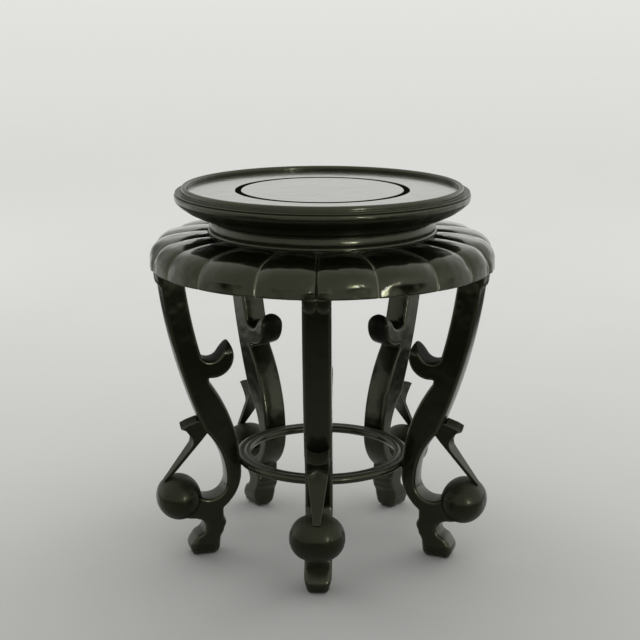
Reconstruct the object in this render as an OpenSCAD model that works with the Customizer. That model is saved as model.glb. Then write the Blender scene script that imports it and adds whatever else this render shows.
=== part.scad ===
// Round hardwood stand with a dished top, a lobed apron, five S-curved legs and a ring stretcher.
// The origin is the middle of the floor under the feet, +Z is up and the first leg faces -Y.
// Profiles are drawn as (distance from the stand's axis, height).

/* [Top] */
// Radius of the top across its rounded edge
rim_r = 124; // [118:0.5:130]
// Height of the rim from its underside to the top of the lip
rim_h = 30.2; // [28:0.1:34]
// Radius of the long round under the edge of the rim
rim_round = 16; // [13:0.5:17]
// Height of the small roll on the edge of the rim above its widest line
rim_roll = 2.6; // [2:0.1:3]
// Drop from the panel's level to the top of that roll
rim_step = 0.4; // [0.2:0.1:1]
// Radius of the rim's undercut, where it meets the neck of the waist
rim_neck_r = 91; // [88:0.5:94]
// Angle from the vertical at which the long round runs into the undercut
undercut_a = 20; // [10:1:30]
// Inner radius of the lip, which the panel fills
lip_r = 113.4; // [111:0.1:114.5]
// Width of the lip
lip_w = 4.6; // [4:0.1:5.4]
// Height of the lip above the panel
lip_h = 4.3; // [3.5:0.1:5.5]
// Thickness of the panel
panel_t = 7; // [5:0.5:10]
// Mean radius of the dark ring in the panel
inlay_r = 70.6; // [50:0.1:90]
// Width of the dark ring
inlay_w = 4.8; // [3:0.1:8]
// Depth of the dark ring
inlay_t = 1.5; // [1:0.1:2.5]
// Radius of the opening under the panel
frame_in_r = 74; // [68:0.5:78]

/* [Waist] */
// Height of the waist that shows between rim and apron
waist_h = 8; // [7:0.1:11]
// Radius of the waist's bead
bead_r = 96.7; // [95:0.1:100]
// Radius of the bead's round
bead_round = 1.9; // [1.5:0.1:2.4]
// Radius of the cove above the bead
cove_round = 5.8; // [4.5:0.1:6.5]
// Depth of the waist's seat in the apron
waist_seat = 6; // [4:0.1:8]

/* [Apron] */
// Radius of the apron across its lobes
apron_r = 145.8; // [140:0.1:152]
// Height of the apron's underside above the floor
apron_z = 250.5; // [235:0.5:270]
// Height of the apron from its underside to the crown of the lobes
apron_h = 27.8; // [25:0.1:31]
// Height of the widest line of the lobes above the underside
apron_wide = 5.5; // [3:0.1:8]
// Radius of the lobes' outer shoulder
shoulder_r = 18.5; // [16:0.5:20]
// Radius of the circle on which the lobes are centred
lobe_axis_r = 97; // [92:0.5:100]
// Height of the hollow under the apron
apron_hollow = 11.5; // [9:0.5:13]

/* [Legs] */
// Thickness of a leg
leg_t = 22.5; // [20:0.5:25]
// Set-back of the leg's outer face from the lobes
leg_setback = 3.8; // [2.5:0.1:5]
// Depth of the leg's upper shaft, from inner to outer face
shaft_w = 21; // [19:0.5:23]
// Radius of the long curve of the upper shaft
shaft_arc = 472; // [440:1:520]
// Height of the centre of that curve
shaft_arc_z = 297; // [290:1:305]
// Distance from the leg's top outer face in to its innermost point
leg_sweep = 67.6; // [64:0.1:72]
// Radius of the inward sweep above the innermost point
sweep_arc = 138; // [130:1:146]
// Radius of the outward curl below the innermost point
curl_arc = 40; // [38:0.5:42]
// Height of the innermost point
curl_z = 74; // [72:0.5:76]
// Width of the leg at its innermost point
curl_w = 13.6; // [12:0.1:16]
// Length of the tongues that run from the lobes down the leg
tongue_l = 9; // [6:0.5:12]
// Height of the tongues above the leg's face
tongue_rise = 1.6; // [1:0.1:2.2]

/* [Hook] */
// Distance of the hook's centre in from the leg's top outer face
hook_inset = 44; // [42:0.5:46]
// Height of the hook's centre
hook_z = 176; // [170:0.5:182]
// Outer radius of the hook
hook_r = 18.2; // [17:0.1:19.5]
// Radius of the hook's hollow
hook_hollow = 14.3; // [13:0.1:15]
// Rise of the hollow's centre above the hook's centre
hook_rise = 6.5; // [5.5:0.1:7.5]
// Height of the hook's blunt tip above the hook's centre
hook_tip = 7.5; // [6:0.5:9]
// Drop of the notch under the hook below the hook's underside
notch_drop = 2; // [1:0.5:4]

/* [Ball and foot] */
// Radius of the ball
ball_r = 19; // [18:0.5:20.5]
// Width of the ball across the leg
ball_w = 45; // [42:0.5:48]
// Distance of the ball's centre in from the leg's top outer face
ball_inset = 14; // [12:0.5:16]
// Height of the ball's centre
ball_z = 53; // [51:0.5:55]
// Radius of the lower end of the gap between leg and ball
gap_r = 16; // [14:0.5:17]
// Radius of the gap's long side
gap_arc = 62.8; // [58:0.1:68]
// Height of the centre of the gap's lower end
gap_z = 67.5; // [65:0.5:69]
// Distance of the heel out from the leg's innermost point
heel_in = 20.6; // [18:0.1:23]
// Length of the foot from heel to toe
foot_l = 26; // [23:0.5:29]
// Height of the toe's upper edge
toe_h = 12; // [10:0.5:14]
// Radius of the hollow between toe and ball
instep_r = 7.5; // [6:0.1:8]
// Radius of the ankle's inner swelling
ankle_r = 6.6; // [6:0.1:7.5]
// Height of the ankle's inner swelling
ankle_z = 29.5; // [28:0.5:31]
// Width of the ankle
ankle_w = 13; // [11:0.5:15]
// Width of the ankle at the bottom of the hollow
ankle_neck = 9; // [8:0.5:10]
// Rise of the hoof's upper face from the toe to the hollow
hoof_rise = 7; // [5:0.5:8]
// Bevel round the sole
sole_bevel = 3.5; // [2:0.5:4]
// Bevel along the toe's upper edge
toe_edge = 1.5; // [1:0.1:2.5]
// Taper of each side of the foot
foot_taper = 3; // [1:0.1:4]

/* [Strut] */
// Fall of the strut from the level
strut_tilt = 51.3; // [49:0.1:53]
// Thickness of the strut
strut_t = 3.2; // [2.6:0.1:4]
// Height of the strut's outer face above the ball where it passes it
strut_stand = 1; // [0.5:0.1:1.5]
// Distance of the strut's lower end from where the strut passes the ball's centre
strut_short = 4; // [2:0.5:6]
// Width of the strut at the leg
strut_top_w = 18.4; // [16:0.1:20]
// Width of the strut at the ball
strut_end_w = 4.8; // [4:0.1:7]
// Height of the tip of the strut's beak
beak_z = 113.5; // [111:0.5:116]
// Reach of the beak from the leg's outer face
beak_reach = 17; // [14:0.5:19]
// Height of the beak's root above its tip
beak_rise = 8; // [6:0.5:10]
// Thickness of the beak's blunt tip
beak_tip = 2; // [1.5:0.1:3]
// Radius of the scoop along the top of the beak
beak_scoop = 11; // [9:0.5:13]
// Depth of the scoop
beak_scoop_d = 3.6; // [2:0.1:4]
// Fall of the scoop along the beak
beak_scoop_a = 12; // [8:1:16]
// Radius of the throat between the beak and the strut's outer face
beak_throat = 8; // [5:0.5:9]

/* [Stretcher] */
// Width of the ring
ring_w = 13; // [11:0.5:15]
// Height of the ring
ring_h = 7; // [6:0.5:8]
// Height of the ring's middle
ring_z = 80.5; // [78:0.5:84]
// Depth of the ring's housing in each leg
ring_housing = 1; // [0.5:0.1:1.6]
// Depth of the hollow between the two reeds of the ring
reed_d = 0.8; // [0.5:0.1:1.5]

/* [Joinery] */
// Clearance of a piece in its seat
fit = 0.15; // [0.1:0.01:0.3]
// Diameter of the dowels through the waist
waist_dowel_d = 7; // [5:0.5:8]
// Length of the waist dowels in the rim and in the apron
waist_dowel_in = 7; // [5:0.5:8]
// Depth of a leg's tenon, along the radius
tenon_w = 11; // [9:0.5:13]
// Width of a leg's tenon, across the leg
tenon_t = 12; // [9:0.5:14]
// Height of a leg's tenon
tenon_h = 13; // [10:0.5:14]
// Diameter of the peg through each tenon
peg_d = 5; // [4:0.5:6]
// Length of a key across an apron joint
key_l = 24; // [18:0.5:30]
// Width of a key
key_w = 9; // [6:0.5:10]
// Thickness of a key
key_t = 3; // [2:0.1:4]
// Wood between a key and the seat of the waist
key_cover = 1.5; // [1:0.1:2.5]
// Diameter of the pegs between ring and legs
ring_peg_d = 3.6; // [3:0.1:4.5]
// Length of those pegs in the ring and in the leg
ring_peg_in = 7; // [5:0.5:8]
// Diameter of the dowel through each ball
ball_dowel_d = 8; // [6:0.5:10]
// Length of that dowel in each cheek
ball_dowel_in = 6; // [4:0.5:8]
// Length of the strut's tenon in the leg
strut_tenon_l = 5; // [3:0.5:7]
// Width of the strut's tenon
strut_tenon_w = 9; // [6:0.5:12]
// Height of the strut's tenon
strut_tenon_h = 5; // [4:0.5:6]

/* [Hidden] */
$fn = 64;
WOOD = [0.13, 0.13, 0.11];
DARK_WOOD = [0.05, 0.05, 0.045];
DOWEL_WOOD = [0.45, 0.33, 0.2];
far = 400;
over = 1;

legs = 5;
dowel_shares = [0.25, 0.75];

leg_angle = 360 / legs;
lobe_angle = leg_angle / 4;

crown_z = apron_z + apron_h;
waist_floor_z = crown_z - waist_seat;
rim_z = crown_z + waist_h;
lip_z = rim_z + rim_h;
panel_z = lip_z - lip_h;
ledge_z = panel_z - panel_t;
rim_wide_z = panel_z - rim_roll - rim_step;

shoulder_x = apron_r - shoulder_r - lobe_axis_r;
shoulder_z = apron_z + apron_wide;
crown_rise = crown_z - shoulder_z;
crown_a = 90 - 2 * atan((crown_rise - shoulder_r) / shoulder_x);
crown_r = shoulder_r + shoulder_x / cos(crown_a);

leg_r = apron_r - leg_setback;
shaft_x = leg_r - sqrt(shaft_arc * shaft_arc - (shaft_arc_z - apron_z) * (shaft_arc_z - apron_z));
in_r = leg_r - leg_sweep;
apron_in_r = leg_r - shaft_w;
tenon_r = leg_r - shaft_w / 2;
gap_x = in_r + curl_w;
hook_c = [leg_r - hook_inset, hook_z];
ball_c = [leg_r - ball_inset, ball_z];
curl_end_r = ball_c[0] - ball_r / 2;
heel_r = in_r + heel_in;
toe_r = heel_r + foot_l;
notch_z = hook_z - hook_r - notch_drop;
peg_z = apron_z + tenon_h / 2;
key_z = waist_floor_z - key_t - key_cover;
key_r = (frame_in_r + bead_r) / 2;
waist_dowel_r = (frame_in_r + rim_neck_r) / 2;
ring_out_r = in_r + ring_housing;
reed_r = ring_h / 2;
strut_out = ball_r + strut_stand;
strut_low_z = ball_z + strut_out * cos(strut_tilt);
beak_root_z = beak_z + beak_rise;

// Distance of the leg's outer face from the stand's axis at a height
function face_r(z) = shaft_x + sqrt(shaft_arc * shaft_arc - (shaft_arc_z - z) * (shaft_arc_z - z));

// Turns what is drawn along +X to face the direction of a leg
module at_leg(i) {
    rotate([0, 0, (i - 1) * leg_angle - 90]) children();
}

// Stands a (radius, height) profile up as a board of a thickness, centred on its leg's plane
module board(t) {
    rotate([90, 0, 0]) linear_extrude(height = t, center = true) children();
}

module disc_at(p, r) {
    translate(p) circle(r, $fn = max($fn, r));
}

module box2(low, high) {
    translate(low) square(high - low);
}

// A dowel along +X from a radius, at a height
module radial_rod(r, l, z, d) {
    translate([r, 0, z]) rotate([0, 90, 0]) cylinder(d = d, h = l);
}

module rim_profile() {
    difference() {
        union() {
            polygon([
                [frame_in_r, rim_z],
                [rim_neck_r, rim_z],
                [rim_r - rim_round + rim_round * sin(undercut_a), rim_wide_z - rim_round * cos(undercut_a)],
                [lip_r + lip_w, rim_wide_z],
                [frame_in_r, rim_wide_z]
            ]);
            intersection() {
                disc_at([rim_r - rim_round, rim_wide_z], rim_round);
                box2([rim_r - rim_round, rim_z], [rim_r, rim_wide_z]);
            }
            intersection() {
                disc_at([rim_r - rim_roll, rim_wide_z], rim_roll);
                box2([lip_r, rim_wide_z], [rim_r, lip_z]);
            }
            box2([lip_r, ledge_z], [lip_r + lip_w, lip_z - lip_w / 2]);
            disc_at([lip_r + lip_w / 2, lip_z - lip_w / 2], lip_w / 2);
        }
        box2([0, ledge_z], [lip_r, lip_z]);
    }
}

module waist_profile() {
    bead_z = crown_z + bead_round;
    difference() {
        union() {
            box2([frame_in_r, waist_floor_z], [bead_r - fit, crown_z]);
            box2([frame_in_r, crown_z], [bead_r - bead_round, rim_z]);
            disc_at([bead_r - bead_round, bead_z], bead_round);
        }
        disc_at([bead_r - bead_round, bead_z + bead_round + cove_round], cove_round);
        box2([bead_r - bead_round, bead_z + bead_round], [bead_r, rim_z]);
    }
}

// Half section of one lobe about its own upright axis: a spherical crown and a rounded shoulder
module lobe_profile() {
    join_x = shoulder_x + shoulder_r * cos(crown_a);
    intersection() {
        disc_at([0, crown_z - crown_r], crown_r);
        box2([0, apron_z], [join_x, crown_z]);
    }
    intersection() {
        disc_at([shoulder_x, shoulder_z], shoulder_r);
        box2([join_x, apron_z], [shoulder_x + shoulder_r, crown_z]);
    }
}

// Upright sector from the X axis round to an angle
module sector(angle) {
    translate([0, 0, apron_z]) linear_extrude(height = apron_h)
        polygon([[0, 0], [far, 0], far * [cos(angle), sin(angle)]]);
}

// A shape and its mirror image, which meet on the XZ plane
module both_sides() {
    children();
    mirror([0, 1, 0]) children();
}

// The four lobes of one bay, in two pairs about the middle of the bay, which meet in crisp valleys
module lobes() {
    both_sides() intersection() {
        rotate([0, 0, lobe_angle]) both_sides() intersection() {
            rotate([0, 0, lobe_angle / 2]) translate([lobe_axis_r, 0, 0]) rotate_extrude() lobe_profile();
            sector(leg_angle / 2);
        }
        sector(leg_angle / 2);
    }
}

module leg_tenon(gap) {
    translate([tenon_r - tenon_w / 2 - gap, -tenon_t / 2 - gap, apron_z - gap])
        cube([tenon_w + 2 * gap, tenon_t + 2 * gap, tenon_h + 2 * gap]);
}

module apron_key(gap) {
    translate([key_r - key_w / 2 - gap, -key_l / 2 - gap, key_z - gap])
        cube([key_w + 2 * gap, key_l + 2 * gap, key_t + 2 * gap]);
}

module leg_peg(gap) {
    radial_rod(apron_in_r - gap, shaft_w / 2 + tenon_w / 2 + gap, peg_z, peg_d + 2 * gap);
}

module waist_dowel(gap) {
    low = waist_floor_z - waist_dowel_in - gap;
    high = rim_z + waist_dowel_in + gap;
    translate([waist_dowel_r, 0, low]) cylinder(d = waist_dowel_d + 2 * gap, h = high - low);
}

// Places the dowels of the waist in the middle of each bay and a quarter bay to its sides
module at_waist_dowels(from, to) {
    for (i = [from:to], share = dowel_shares)
        rotate([0, 0, (i - 1 + share) * leg_angle - 90]) children();
}

module apron(i) {
    color(WOOD) difference() {
        at_leg(i + 0.5) difference() {
            lobes();
            translate([0, 0, apron_z - over]) cylinder(r = apron_in_r, h = apron_hollow + over);
            cylinder(r = frame_in_r, h = far);
            translate([0, 0, waist_floor_z]) cylinder(r = bead_r, h = far);
        }
        for (end = [i, i + 1]) at_leg(end) {
            leg_tenon(fit);
            leg_peg(fit);
            apron_key(fit);
        }
        at_waist_dowels(i, i) waist_dowel(fit);
    }
}

// Crescent that springs from the shaft and points up, with a blunt tip
module hook_outline() {
    tip_out = hook_c[0] - sqrt(hook_r * hook_r - hook_tip * hook_tip);
    tip_in = hook_c[0] - sqrt(hook_hollow * hook_hollow - (hook_tip - hook_rise) * (hook_tip - hook_rise));
    intersection() {
        difference() {
            disc_at(hook_c, hook_r);
            disc_at(hook_c + [0, hook_rise], hook_hollow);
        }
        box2([0, 0], [leg_r, hook_z + hook_tip]);
    }
    disc_at([(tip_in + tip_out) / 2, hook_z + hook_tip], (tip_in - tip_out) / 2 + fit);
}

// Hoof, ankle and the hollow between toe and ball
module foot_outline() {
    hoof_z = toe_h + hoof_rise;
    difference() {
        union() {
            box2([heel_r - ankle_r / 3, hoof_z], [heel_r + ankle_w, curl_z - curl_arc + ankle_r]);
            disc_at([heel_r + ankle_r / 3, ankle_z], ankle_r);
            polygon([
                [heel_r, hoof_z],
                [heel_r, sole_bevel],
                [heel_r + sole_bevel, 0],
                [toe_r - sole_bevel, 0],
                [toe_r, toe_h - sole_bevel],
                [toe_r - toe_edge, toe_h],
                [heel_r + ankle_w, hoof_z]
            ]);
        }
        disc_at([heel_r + ankle_neck + instep_r, hoof_z + instep_r], instep_r);
    }
}

module leg_outline() {
    // Upper shaft between two arcs about one centre
    intersection() {
        difference() {
            disc_at([shaft_x, shaft_arc_z], shaft_arc);
            disc_at([shaft_x, shaft_arc_z], shaft_arc - shaft_w);
        }
        box2([in_r, notch_z], [leg_r + shaft_w, apron_z]);
    }
    // Sweep in to the innermost point
    difference() {
        intersection() {
            disc_at([shaft_x, shaft_arc_z], shaft_arc);
            disc_at([in_r + sweep_arc, curl_z], sweep_arc);
            box2([in_r, curl_z], [leg_r, notch_z]);
        }
        disc_at([gap_x + gap_arc, gap_z], gap_arc);
    }
    // Curl out to the ball
    difference() {
        intersection() {
            disc_at([in_r + curl_arc, curl_z], curl_arc);
            box2([in_r, 0], [curl_end_r, curl_z]);
        }
        intersection() {
            disc_at([gap_x + gap_arc, gap_z], gap_arc);
            box2([gap_x, gap_z], [curl_end_r, curl_z]);
        }
        disc_at([gap_x + gap_r, gap_z], gap_r);
        box2([gap_x + gap_r, gap_z - gap_r], [curl_end_r, curl_z]);
    }
    hook_outline();
    foot_outline();
}

// The whole ball: two half spheres on a short barrel, across the leg
module ball() {
    reach = ball_w / 2 - ball_r;
    translate([ball_c[0], 0, ball_c[1]]) {
        for (side = [-1, 1]) translate([0, side * reach, 0]) sphere(ball_r);
        rotate([90, 0, 0]) cylinder(r = ball_r, h = 2 * reach, center = true);
    }
}

module ball_dowel(gap) {
    translate([ball_c[0], 0, ball_c[1]]) rotate([90, 0, 0])
        cylinder(d = ball_dowel_d + 2 * gap, h = leg_t + 2 * ball_dowel_in + 2 * gap, center = true);
}

// Side outline of the straight strut, in a frame at the ball's centre with X down the strut
module strut_bar_outline(gap) {
    translate(ball_c) rotate(-strut_tilt)
        box2([-far, strut_out - strut_t - gap], [gap - strut_short, strut_out + gap]);
}

// Fillet under the beak, between its underside and the strut's outer face
module strut_throat(low, high) {
    under = atan2(high[1] - low[1], high[0] - low[0]);
    half = (under + strut_tilt) / 2;
    down = [cos(strut_tilt), -sin(strut_tilt)];
    out = [sin(strut_tilt), cos(strut_tilt)];
    corner = low - ((low - ball_c) * out - strut_out) / sin(2 * half) * [cos(under), sin(under)];
    inner = corner - strut_t / 2 * out;
    length = beak_throat / tan(half);
    centre = corner + beak_throat / sin(half) * [cos(under - half), sin(under - half)];
    difference() {
        polygon([
            inner,
            inner - (low[1] + strut_t - inner[1]) / sin(strut_tilt) * down,
            corner + length * [cos(under), sin(under)],
            centre,
            corner + length * down
        ]);
        disc_at(centre, beak_throat + 2 * fit);
    }
}

module strut_outline(gap) {
    face = face_r(beak_z);
    root = face_r(beak_root_z);
    low = [face + beak_reach / 2, beak_z - beak_rise];
    high = [face + beak_reach - beak_tip, beak_z - beak_tip / 2];
    difference() {
        union() {
            strut_bar_outline(gap);
            strut_throat(low, high);
            polygon([
                [face - shaft_w / 2, beak_z - beak_rise],
                low,
                high,
                [face + beak_reach, beak_z + beak_tip / 2],
                [face + beak_reach * 3 / 4, beak_z + beak_rise * 2 / 3],
                [root, beak_root_z],
                [root - shaft_w / 2, beak_root_z]
            ]);
        }
        disc_at([shaft_x, shaft_arc_z], shaft_arc + fit - gap);
    }
}

// Front outline of the strut, wide at the leg and narrow at the ball
module strut_front(gap) {
    top = strut_top_w / 2 + gap;
    end = strut_end_w / 2 + gap;
    polygon([
        [-top, beak_root_z + over],
        [-top, beak_z - beak_rise],
        [-end, strut_low_z],
        [-end, ball_z],
        [end, ball_z],
        [end, strut_low_z],
        [top, beak_z - beak_rise],
        [top, beak_root_z + over]
    ]);
}

module strut_tenon(gap) {
    tenon_in_r = face_r(beak_z) - strut_tenon_l;
    translate([tenon_in_r - gap, -strut_tenon_w / 2 - gap, beak_z - strut_tenon_h / 2 - gap])
        cube([strut_tenon_l + beak_reach / 2, strut_tenon_w + 2 * gap, strut_tenon_h + 2 * gap]);
}

module strut_solid(gap) {
    intersection() {
        board(strut_top_w + 2 * gap) strut_outline(gap);
        rotate([90, 0, 90]) linear_extrude(height = far) strut_front(gap);
    }
}

module strut(i) {
    color(WOOD) at_leg(i) difference() {
        union() {
            strut_solid(0);
            strut_tenon(0);
        }
        translate([face_r(beak_z), 0, beak_root_z + beak_scoop - beak_scoop_d])
            rotate([0, 90 + beak_scoop_a, 0]) cylinder(r = beak_scoop, h = 3 * beak_reach, center = true);
    }
}

// Rounded tongues at the head of the leg, which carry the lobes on below the apron
module leg_tongues() {
    r = leg_t / 4;
    out_r = face_r(apron_z - tongue_l) + tongue_rise - r;
    for (side = [-1, 1]) translate([out_r, side * r, apron_z - tongue_l + r]) {
        cylinder(r = r, h = tongue_l - r);
        sphere(r);
    }
}

// Wedges off both sides of the foot
module foot_tapers() {
    for (side = [-1, 1]) scale([1, side, 1]) rotate([90, 0, 90]) linear_extrude(height = far)
        polygon([[leg_t / 2, toe_h], [leg_t / 2 - foot_taper, -over], [leg_t, -over], [leg_t, toe_h]]);
}

module ring_profile(gap) {
    middle_r = ring_out_r - ring_w / 2;
    side = ring_w / 2 - reed_r;
    for (k = [-1, 1]) disc_at([middle_r + k * side, ring_z], reed_r + gap);
    box2([middle_r - side, ring_z - reed_r + reed_d], [middle_r + side, ring_z + reed_r - reed_d]);
}

module ring_peg(gap) {
    radial_rod(ring_out_r - ring_peg_in - gap, 2 * ring_peg_in + 2 * gap, ring_z, ring_peg_d + 2 * gap);
}

module leg(i) {
    color(WOOD) difference() {
        at_leg(i) difference() {
            union() {
                board(leg_t) leg_outline();
                intersection() {
                    ball();
                    board(leg_t) disc_at(ball_c, ball_r + over);
                }
                leg_tenon(0);
                leg_tongues();
            }
            foot_tapers();
            strut_solid(fit);
            strut_tenon(fit);
            ball_dowel(fit);
            ring_peg(fit);
            leg_peg(fit);
        }
        rotate_extrude() ring_profile(fit);
    }
}

module cheek(i, side) {
    color(WOOD) at_leg(i) difference() {
        intersection() {
            ball();
            translate([0, side * (leg_t / 2 + ball_w / 2), 0])
                translate([ball_c[0], 0, ball_c[1]]) cube([3 * ball_r, ball_w, 3 * ball_r], center = true);
        }
        ball_dowel(fit);
    }
}

module top_rim() {
    color(WOOD) difference() {
        rotate_extrude() rim_profile();
        at_waist_dowels(1, legs) waist_dowel(fit);
    }
}

module inlay(gap) {
    translate([0, 0, panel_z - inlay_t - gap]) difference() {
        cylinder(r = inlay_r + inlay_w / 2 + gap, h = inlay_t + gap);
        translate([0, 0, -over]) cylinder(r = inlay_r - inlay_w / 2 - gap, h = inlay_t + 2 * over);
    }
}

module top_panel() {
    color(WOOD) difference() {
        translate([0, 0, ledge_z]) cylinder(r = lip_r - fit, h = panel_t);
        inlay(fit);
    }
}

module panel_inlay() {
    color(DARK_WOOD) inlay(0);
}

module waist() {
    color(WOOD) difference() {
        rotate_extrude() waist_profile();
        at_waist_dowels(1, legs) waist_dowel(fit);
    }
}

module stretcher_ring() {
    color(WOOD) difference() {
        rotate_extrude() ring_profile(0);
        for (i = [1:legs]) at_leg(i) ring_peg(fit);
    }
}

module waist_dowels() {
    color(DOWEL_WOOD) at_waist_dowels(1, legs) waist_dowel(0);
}

module apron_keys() {
    color(DOWEL_WOOD) for (i = [1:legs]) at_leg(i) apron_key(0);
}

module leg_pegs() {
    color(DOWEL_WOOD) for (i = [1:legs]) at_leg(i) leg_peg(0);
}

module stretcher_pegs() {
    color(DOWEL_WOOD) for (i = [1:legs]) at_leg(i) ring_peg(0);
}

module ball_dowels() {
    color(DOWEL_WOOD) for (i = [1:legs]) at_leg(i) ball_dowel(0);
}

top_rim();
top_panel();
panel_inlay();
waist();
stretcher_ring();
for (i = [1:legs]) {
    apron(i);
    leg(i);
    strut(i);
    cheek(i, -1);
    cheek(i, 1);
}
waist_dowels();
apron_keys();
leg_pegs();
stretcher_pegs();
ball_dowels();
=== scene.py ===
import math

import bmesh
import bpy
import numpy as np
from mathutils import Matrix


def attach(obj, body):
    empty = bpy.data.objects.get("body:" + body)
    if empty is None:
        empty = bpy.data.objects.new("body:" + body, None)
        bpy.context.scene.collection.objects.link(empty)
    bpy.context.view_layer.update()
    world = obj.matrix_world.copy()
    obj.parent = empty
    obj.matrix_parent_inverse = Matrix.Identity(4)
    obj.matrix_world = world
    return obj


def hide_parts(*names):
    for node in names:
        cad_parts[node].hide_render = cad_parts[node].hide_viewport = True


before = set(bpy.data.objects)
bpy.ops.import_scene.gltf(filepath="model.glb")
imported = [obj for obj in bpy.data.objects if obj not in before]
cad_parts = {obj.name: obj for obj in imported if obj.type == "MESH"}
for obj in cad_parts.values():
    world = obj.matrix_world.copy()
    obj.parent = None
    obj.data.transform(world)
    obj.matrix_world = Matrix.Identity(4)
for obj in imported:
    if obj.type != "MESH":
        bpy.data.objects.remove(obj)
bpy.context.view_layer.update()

# Legs: five S-shaped boards, sawn from one thickness of dark hardwood, with a hook on the inner edge, a round end
# for the ball and a hoof foot. Their arrises are eased by hand before the black lacquer goes on, and each head
# carries two carved tongues. They are tenoned up into the apron. Places are radius and height in millimetres.
MM = 0.001
LEGS = 5
LEG_TURN, FRONT_LEG = 360 / LEGS, -90
LEG_THICK, LEG_BARREL, LEG_COLUMNS = 22.5, 0.8, 28
LEG_EASE, HOOF_EASE, HOOF_EASE_Z, HOOF_EASE_TALL = 2.3, 4.0, 20.0, 6.0
LEG_SPACING, CRISP_EASE, SOFT_EASE, SOFT_BELOW_Z, SOFT_TALL = 0.85, 0.6, 1.8, 20.0, 16.0
SHAFT_CENTRE, SHAFT_OUT_R, SHAFT_IN_R = (-327.704, 297.0), 472.0, 451.0
LEG_TOP_Z = 250.5
GAP_CENTRE, GAP_R = (150.8, 67.5), 62.8
GAP_FLOOR_CENTRE, GAP_FLOOR_R, GAP_FLOOR_END = (102.5, 66.5), 14.5, 320
BALL_CENTRE, BALL_R, BALL_REACH, LEG_END_R, LEG_END_FROM = (128.0, 53.0), 19.0, 3.5, 17.0, 104
CURL_CENTRE, CURL_R, CURL_END = (114.4, 74.0), 40.0, -90.5
SWEEP_CENTRE, SWEEP_R, NOTCH_Z = (212.4, 74.0), 138.0, 155.8
INSTEP_CENTRE, INSTEP_R = (114.0, 26.5), 6.8
ANKLE_CENTRE, ANKLE_R, ANKLE_BACK = (95.0, 29.0), 6.8, 90.4
FOOT_CORNERS = [(119.5, 12.0), (121.0, 8.5), (117.5, 0.0), (97.5, 0.0), (94.0, 3.5), (93.2, 17.0), (90.4, 20.5)]
FOOT_TAPER_Z, FOOT_TAPER = 12.0, 3.0
HOOK_CENTRE, HOOK_R, HOOK_END = (98.0, 176.3), 18.6, 143.0
HOLLOW_CENTRE, HOLLOW_R, HOLLOW_FROM = (99.8, 183.2), 9.3, 211
HOOK_TIP, HOOK_TIP_R, HOOK_TIP_FROM, HOOK_TIP_TO = (84.4, 187.4), 1.1, 145, 25
HORN_R, HORN_Z, HORN_TALL, HORN_MOST = 92.0, 179.5, 9.4, 0.97
TONGUE_LONG, TONGUE_RISE, TONGUE_HALF, TONGUE_FADE = 11.5, 2.2, 5.6, 4.0
ARC_STEP, ARC_LEAST = 0.5, 4


def arc(centre, radius, start, end):
    """Points on a circle about a centre from one angle to another in degrees, about half a millimetre apart."""
    count = max(ARC_LEAST, int(radius * math.radians(abs(end - start)) / ARC_STEP))
    turn = np.radians(np.linspace(start, end, count))
    return np.array(centre) + radius * np.stack([np.cos(turn), np.sin(turn)], 1)


def crossing(one, one_r, two, two_r, side):
    """Crossing of two circles: along the line of centres by the law of cosines, then square to it by Pythagoras."""
    line = np.subtract(two, one)
    apart = math.hypot(*line)
    line = line / apart
    along = (one_r**2 - two_r**2 + apart**2) / (2 * apart)
    across = side * math.sqrt(one_r**2 - along**2)
    return np.array(one) + along * line + across * np.array([-line[1], line[0]])


def bearing(point, centre):
    """Angle in degrees at which a point is seen from a centre."""
    return math.degrees(math.atan2(point[1] - centre[1], point[0] - centre[0]))


def even_outline(points, spacing, ease):
    """Closed outline resampled at even steps of its running length, run anticlockwise, with its corners eased by
    a Gaussian of width ease that is taken round the loop as a product of Fourier terms."""
    loop = np.vstack([points, points[:1]])
    run = np.r_[0, np.cumsum(np.hypot(*np.diff(loop, axis=0).T))]
    count = int(run[-1] / spacing)
    steps = np.linspace(0, run[-1], count, endpoint=False)
    path = np.interp(steps, run, loop[:, 0]) + 1j * np.interp(steps, run, loop[:, 1])
    waves = np.fft.fftfreq(count, run[-1] / count)
    path = np.fft.ifft(np.fft.fft(path) * np.exp(-2 * (math.pi * waves * ease) ** 2))
    area = np.sum((path.conj() * np.roll(path, -1)).imag)
    path = path if area > 0 else path[::-1]
    return np.stack([path.real, path.imag], 1)


def inward_room(outline):
    """Inward normals of an anticlockwise outline, and for each point the radius of the largest circle that touches
    the outline there and holds no other point of it: least of distance squared over twice the depth."""
    along = np.roll(outline, -1, 0) - np.roll(outline, 1, 0)
    along /= np.hypot(*along.T)[:, None]
    inward = np.stack([-along[:, 1], along[:, 0]], 1)
    gap = outline[None] - outline[:, None]
    depth = np.einsum("ijk,ik->ij", gap, inward)
    room = np.where(depth > 1e-6, (gap**2).sum(2) / np.maximum(2 * depth, 1e-6), np.inf).min(1)
    return inward, room


# Shares of that room which an arris may take before and after it is evened out, its flat, and all of it together.
ROUND_SHARE, EVENED_SHARE, FLAT_SHARE, INSET_SHARE = 0.7, 0.85, 0.95, 0.96
EVEN_REACH, EVEN_WIDTH, ROUND_STEPS, FLAT_MARGIN = 6, 2.5, 7, 0.5


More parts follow.
